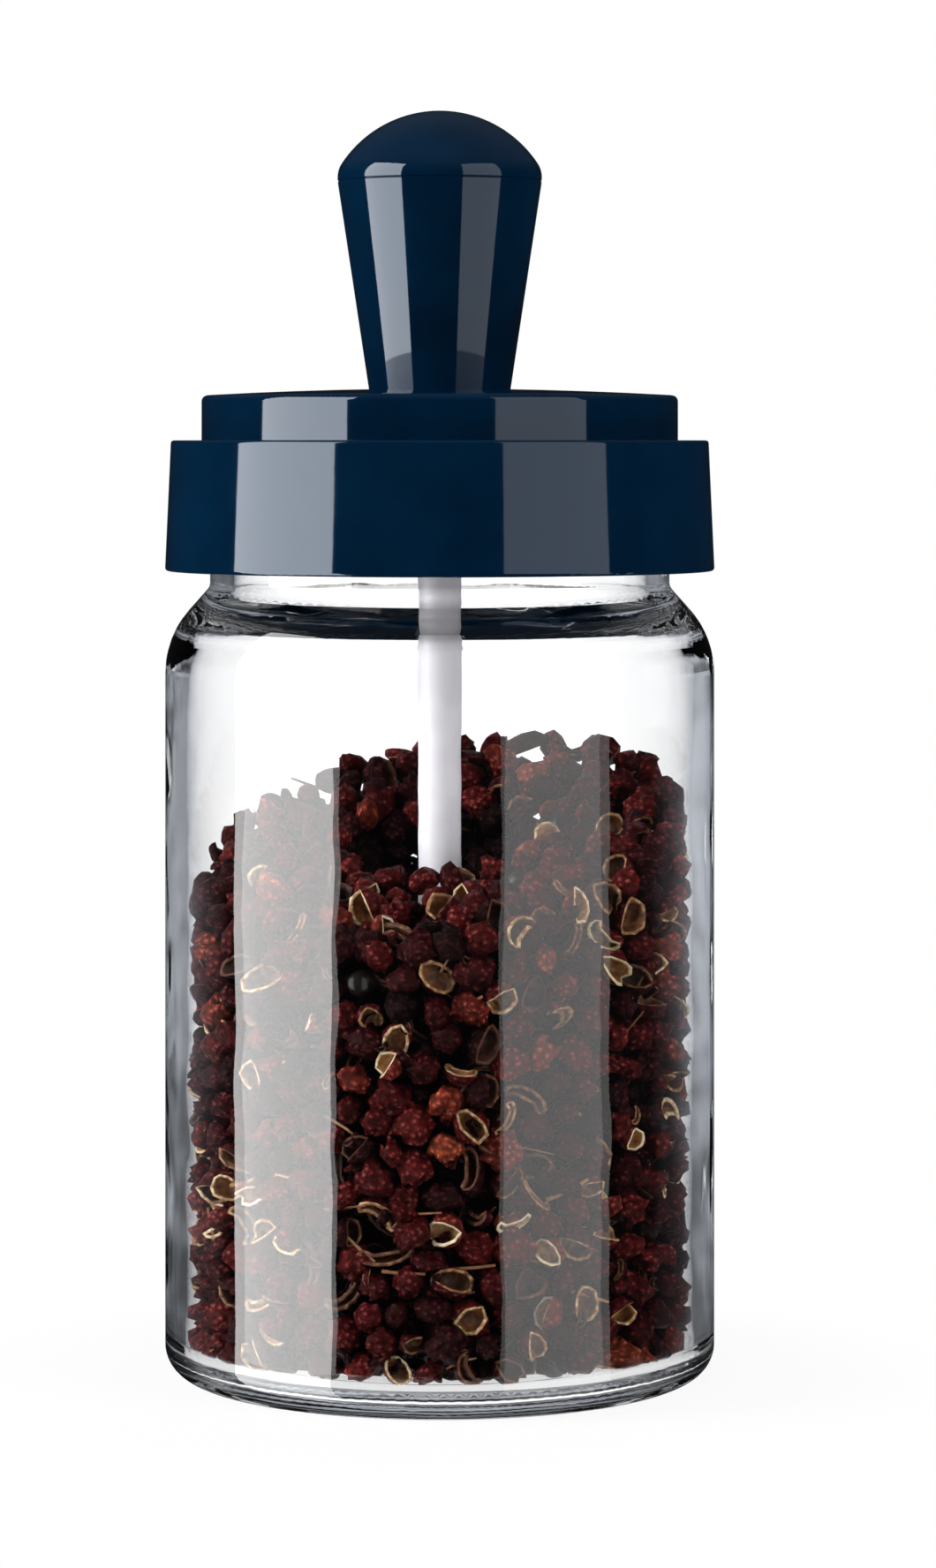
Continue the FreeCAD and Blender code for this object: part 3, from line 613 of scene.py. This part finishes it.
round_models = [whole_husk(seed=11, dent=0.34, shape=(0.98, 1.02, 0.82), cleft=0.0),
                whole_husk(seed=19, dent=0.30, shape=(0.92, 0.98, 1.02), cleft=0.15),
                whole_husk(seed=29, dent=0.20, shape=(0.80, 0.74, 1.08), cleft=0.0)]
cleft_models = [whole_husk(seed=3, dent=0.32, shape=(1.02, 0.94, 0.86), cleft=0.45),
                whole_husk(seed=17, dent=0.28, shape=(1.06, 0.86, 0.92), cleft=0.6),
                whole_husk(seed=23, dent=0.34, shape=(0.90, 1.0, 1.02), cleft=0.5)]
split_models = [split_husk(seed=4, dent=0.13, gape=70, spread=0.95),
                split_husk(seed=7, dent=0.15, gape=90, spread=1.02),
                split_husk(seed=8, dent=0.12, gape=130, spread=0.90)]
shell_models = [open_shell(seed=5, mouth=0.3, shape=(1.35, 0.85, 0.8), notch=0.75),
                open_shell(seed=9, mouth=0.45, shape=(1.25, 0.9, 0.95), notch=0.6),
                open_shell(seed=13, mouth=0.2, shape=(1.45, 0.8, 0.75), notch=0.85)]
seed_models = [whole_husk(seed=2, dent=0.03, shape=(0.72, 0.64, 0.66), cleft=0.0)]
stalk_models = [stalk(bend=0.22, taper=0.9), stalk(bend=0.05, taper=0.84)]


# The heap: grains settled round the spoon, in millimetres

# The inside of the jar, kept a little off the glass, the well round the spoon, and the heap's sloping top
JAR_INSIDE = 32.1
JAR_FLOOR = 4.05
FLOOR_CORNER = 2.3
WELL_RADIUS = 9.6
WELL_TOP = 64.0
WELL_FLARE = math.tan(math.radians(30))
HEAP_LEVEL = 69.2
HEAP_SLOPE = math.tan(math.radians(21))
HEAP_TOWARDS = math.radians(64)
HEAP_ROUGH = 0.3
GRAIN_COUNT = 3000
GRAIN_SMALL, GRAIN_LARGE = 1.8, 2.55
STRETCH_LEAST, STRETCH_MOST = 0.76, 1.18
SPLIT_GROWTH, SHELL_GROWTH = 1.02, 1.04
TINY = 1e-6

# Steps of settling: how far a grain stays under the top, gives way to another and sinks, and how often
# and within what reach the neighbours are listed
SETTLE_STEPS = 260
TOP_COVER = 0.4
GIVE_WAY = 0.45
SINK = 0.12
LIST_EVERY = 10
LIST_REACH = 1.5

# Spread of the tones from dark to pale, how many radii from the glass and from the top grains are lit, and
# how much darker the others are painted as shade
TONE_RISE, TONE_FALL = 2.0, 2.6
LIT_AT_GLASS, LIT_AT_TOP = 1.5, 2
PAINTED_SHADE_TONE = 0.1

# Kinds of grain, as limits of one even draw between 0 and 1, with cleft husks in what is left
SHELLS_END, SPLITS_END, ROUNDS_END, SEEDS_START = 0.11, 0.36, 0.66, 0.985
MOUTH_SCATTER = 20.0

# Loose bits among the grains next to the glass
NEAR_GLASS = 26
SHARDS = 640
SHARD_SMALL, SHARD_LARGE = 0.9, 1.5
SHARD_SCATTER = 1.6
SHARD_ROOM = 1.3
SHARD_TONE = 0.4
STALKS = 180
STALK_SHORT, STALK_LONG = 2.0, 3.8
STALK_SCATTER = 1.0
STALK_ROOM = 1.9
STALK_TILT = 22.0
STALK_COVER = 1.5

DRAW_SEED = 41
rng = np.random.default_rng(DRAW_SEED)


def heap_top(place):
    """The height of the heap's sloping top at each place."""
    along = place[:, 0] * math.cos(HEAP_TOWARDS) + place[:, 1] * math.sin(HEAP_TOWARDS)
    return HEAP_LEVEL + HEAP_SLOPE * along


def keep_inside(place, radius, lift):
    """Puts every grain back between the jar's wall and floor, the spoon's well and the heap's top."""
    place[:, 2] = np.minimum(place[:, 2], heap_top(place) - TOP_COVER * radius + lift)
    out = np.hypot(place[:, 0], place[:, 1])
    well = WELL_RADIUS + WELL_FLARE * np.maximum(place[:, 2] - WELL_TOP, 0) + radius
    well = np.minimum(well, JAR_INSIDE - radius)
    held = np.clip(out, well, JAR_INSIDE - radius)
    place[:, :2] *= (held / np.maximum(out, TINY))[:, None]
    place[:, 2] = np.maximum(place[:, 2], JAR_FLOOR + radius)
    side = held - (JAR_INSIDE - FLOOR_CORNER)
    down = JAR_FLOOR + FLOOR_CORNER - place[:, 2]
    from_corner = np.hypot(side, down)
    tight = (side > 0) & (down > 0) & (from_corner > FLOOR_CORNER - radius)
    ease = np.where(tight, (FLOOR_CORNER - radius) / np.maximum(from_corner, TINY), 1.0)
    place[:, 2] = np.where(tight, JAR_FLOOR + FLOOR_CORNER - down * ease, place[:, 2])
    pulled = np.where(tight, JAR_INSIDE - FLOOR_CORNER + side * ease, held)
    place[:, :2] *= (pulled / np.maximum(held, TINY))[:, None]


def settle_grains():
    """Drops the grains anywhere in the heap, then pushes apart those that overlap, step by step."""
    radius = rng.uniform(GRAIN_SMALL, GRAIN_LARGE, GRAIN_COUNT)
    out = np.sqrt(rng.uniform(WELL_RADIUS ** 2, JAR_INSIDE ** 2, GRAIN_COUNT))
    turn = rng.uniform(0, 2 * math.pi, GRAIN_COUNT)
    place = np.stack([out * np.cos(turn), out * np.sin(turn), np.zeros(GRAIN_COUNT)], axis=1)
    place[:, 2] = JAR_FLOOR + rng.uniform(0, 1, GRAIN_COUNT) * (heap_top(place) - JAR_FLOOR)
    lift = rng.normal(0, HEAP_ROUGH, GRAIN_COUNT)
    for step in range(SETTLE_STEPS):
        if step % LIST_EVERY == 0:
            apart = np.sqrt(((place[:, None, :] - place[None, :, :]) ** 2).sum(axis=2))
            reach = radius[:, None] + radius[None, :] + LIST_REACH
            first, second = np.nonzero(np.triu(apart < reach, k=1))
        gap = place[second] - place[first]
        length = np.maximum(np.linalg.norm(gap, axis=1), TINY)
        press = np.maximum(radius[first] + radius[second] - length, 0)
        push = gap * (GIVE_WAY * press / length)[:, None]
        for k in range(3):
            forward = np.bincount(second, push[:, k], GRAIN_COUNT)
            back = np.bincount(first, push[:, k], GRAIN_COUNT)
            place[:, k] += forward - back
        upper = np.where(gap[:, 2] > 0, second, first)[press > 0]
        loose = np.bincount(upper, minlength=GRAIN_COUNT) == 0
        place[loose, 2] -= SINK
        keep_inside(place, radius, lift)
    return place, radius


def random_turns(count):
    """One even random rotation matrix for each grain."""
    q = rng.normal(size=(count, 4))
    w, x, y, z = (q / np.linalg.norm(q, axis=1)[:, None]).T
    rows = [[1 - 2 * (y * y + z * z), 2 * (x * y - z * w), 2 * (x * z + y * w)],
            [2 * (x * y + z * w), 1 - 2 * (x * x + z * z), 2 * (y * z - x * w)],
            [2 * (x * z - y * w), 2 * (y * z + x * w), 1 - 2 * (x * x + y * y)]]
    return np.transpose(np.array(rows), (2, 0, 1))


def facing_turns(towards):
    """Rotation matrices that point each grain's mouth (+Z) its own way, spun at random about it."""
    up = towards / np.linalg.norm(towards, axis=1)[:, None]
    side = np.cross(up, rng.normal(size=up.shape))
    side /= np.linalg.norm(side, axis=1)[:, None]
    return np.stack([side, np.cross(up, side), up], axis=2)


def off_the_glass(points):
    """Moves one grain back by as much as it reaches into the jar's floor, wall or the corner between."""
    points[:, 2] += max(JAR_FLOOR - points[:, 2].min(), 0)
    out = np.hypot(points[:, 0], points[:, 1])
    side = out - (JAR_INSIDE - FLOOR_CORNER)
    down = np.maximum(JAR_FLOOR + FLOOR_CORNER - points[:, 2], 0)
    far = np.where(side > 0, np.hypot(side, down), 0)
    worst = far.argmax()
    back = max(far[worst] - FLOOR_CORNER, 0) / max(far[worst], TINY)
    points[:, :2] -= points[worst, :2] * (side[worst] * back / max(out[worst], TINY))
    points[:, 2] += down[worst] * back
    return points


def copy_models(models, place, radius, turns):
    """Copies of the models at their places: points, corners, face sizes, slots, and points in each copy."""
    which = rng.integers(0, len(models), len(place))
    stretch = rng.uniform(STRETCH_LEAST, STRETCH_MOST, (len(place), 3))
    points, corners, sizes, slots, counts = [], [], [], [], []
    start = 0
    for k in range(len(place)):
        shape, loop, size, slot = models[which[k]]
        points.append(off_the_glass((shape * stretch[k] * radius[k]) @ turns[k].T + place[k]))
        corners.append(loop + start)
        sizes.append(size)
        slots.append(slot)
        counts.append(len(shape))
        start += len(shape)
    return (*(np.concatenate(part) for part in (points, corners, sizes, slots)), counts)


def heap_piece(name, models, materials, place, radius, turns, tones):
    """One piece of the heap: copies of its models in one mesh, with each grain's tone on its points."""
    points, corners, sizes, slots, counts = copy_models(models, place, radius, turns)
    mesh = bpy.data.meshes.new(name)
    mesh.vertices.add(len(points))
    mesh.vertices.foreach_set("co", (points * MM).ravel())
    mesh.loops.add(len(corners))
    mesh.loops.foreach_set("vertex_index", corners)
    mesh.polygons.add(len(sizes))
    mesh.polygons.foreach_set("loop_start", np.concatenate([[0], np.cumsum(sizes)[:-1]]))
    mesh.polygons.foreach_set("material_index", slots)
    mesh.update(calc_edges=True)
    mesh.validate()
    mesh.polygons.foreach_set("use_smooth", np.ones(len(mesh.polygons), dtype=bool))
    mesh.attributes.new("tone", "FLOAT", "POINT").data.foreach_set("value", np.repeat(tones, counts))
    for material in materials:
        mesh.materials.append(material)
    piece = bpy.data.objects.new(name, mesh)
    scene.collection.objects.link(piece)
    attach(piece, "jar")
    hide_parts("peppercorn_fill")


def scatter_shards(place, near_glass):
    """Broken bits of shell between the grains next to the glass."""
    reach = rng.uniform(SHARD_SMALL, SHARD_LARGE, SHARDS)
    spot = place[rng.choice(near_glass, SHARDS, replace=False)] + rng.normal(0, SHARD_SCATTER, (SHARDS, 3))
    keep_inside(spot, SHARD_ROOM * reach, np.zeros(SHARDS))
    turns = random_turns(SHARDS)
    tones = rng.uniform(0, SHARD_TONE, SHARDS)
    heap_piece("husk_shards", shell_models, shell_finish, spot, reach, turns, tones)


def scatter_stalks(place, near_glass):
    """Bits of stalk that lie along the glass, each with both ends inside the heap."""
    spot = place[rng.choice(near_glass, STALKS, replace=False)] + rng.normal(0, STALK_SCATTER, (STALKS, 3))
    reach = rng.uniform(STALK_SHORT, STALK_LONG, STALKS)
    keep_inside(spot, np.full(STALKS, STALK_ROOM), np.zeros(STALKS))
    across = np.stack([-spot[:, 1], spot[:, 0], rng.normal(0, STALK_TILT, STALKS)], axis=1)
    steep = np.abs(across[:, 2]) / np.linalg.norm(across, axis=1)
    lowest = JAR_FLOOR + STALK_COVER + reach * steep
    highest = heap_top(spot) - reach * steep - STALK_COVER
    spot[:, 2] = np.clip(spot[:, 2], lowest, highest)
    turns = facing_turns(across)
    tones = rng.uniform(0, 1, STALKS)
    heap_piece("pepper_stalks", stalk_models, stalk_finish, spot, reach, turns, tones)


place, radius = settle_grains()
kind = rng.uniform(0, 1, GRAIN_COUNT)
tones = np.clip(rng.beta(TONE_RISE, TONE_FALL, GRAIN_COUNT), 0, 1)
from_axis = np.hypot(place[:, 0], place[:, 1])

# Painted shade: hardly any light gets in between the husks, so the tones of the ones behind the outer layer
# are cut down, which paints them dark and makes them show as dark gaps.
off_glass = JAR_INSIDE - from_axis
under_top = heap_top(place) - place[:, 2]
painted_shade_behind = (off_glass > LIT_AT_GLASS * radius) & (under_top > LIT_AT_TOP * radius)
tones[painted_shade_behind] *= PAINTED_SHADE_TONE

turns = random_turns(GRAIN_COUNT)
outward = place * np.array([1.0, 1.0, 0.0])
outward += rng.normal(0, MOUTH_SCATTER, outward.shape)
mouths_out = facing_turns(outward)

is_shell = kind < SHELLS_END
is_split = (kind >= SHELLS_END) & (kind < SPLITS_END)
is_round = (kind >= SPLITS_END) & (kind < ROUNDS_END)
is_seed = kind > SEEDS_START
is_cleft = ~(is_shell | is_split | is_round | is_seed)

heap_kinds = (
    ("round_husks", round_models, whole_finish, is_round, 1.0, turns),
    ("cleft_husks", cleft_models, whole_finish, is_cleft, 1.0, turns),
    ("split_husks", split_models, shell_finish, is_split, SPLIT_GROWTH, mouths_out),
    ("husk_shells", shell_models, shell_finish, is_shell, SHELL_GROWTH, mouths_out),
    ("pepper_seeds", seed_models, seed_finish, is_seed, 1.0, turns),
)
for name, models, finish, chosen, growth, facing in heap_kinds:
    heap_piece(name, models, finish, place[chosen], radius[chosen] * growth, facing[chosen], tones[chosen])

near_glass = np.nonzero(from_axis > NEAR_GLASS)[0]
scatter_shards(place, near_glass)
scatter_stalks(place, near_glass)


# Colour view and light bounces

# The thick shoulder and base pass light on by many reflections, and go black where these are cut short.
GLASS_BOUNCES = 32

scene.view_settings.view_transform = "Standard"
scene.cycles.max_bounces = GLASS_BOUNCES
scene.cycles.glossy_bounces = GLASS_BOUNCES
scene.cycles.transmission_bounces = GLASS_BOUNCES
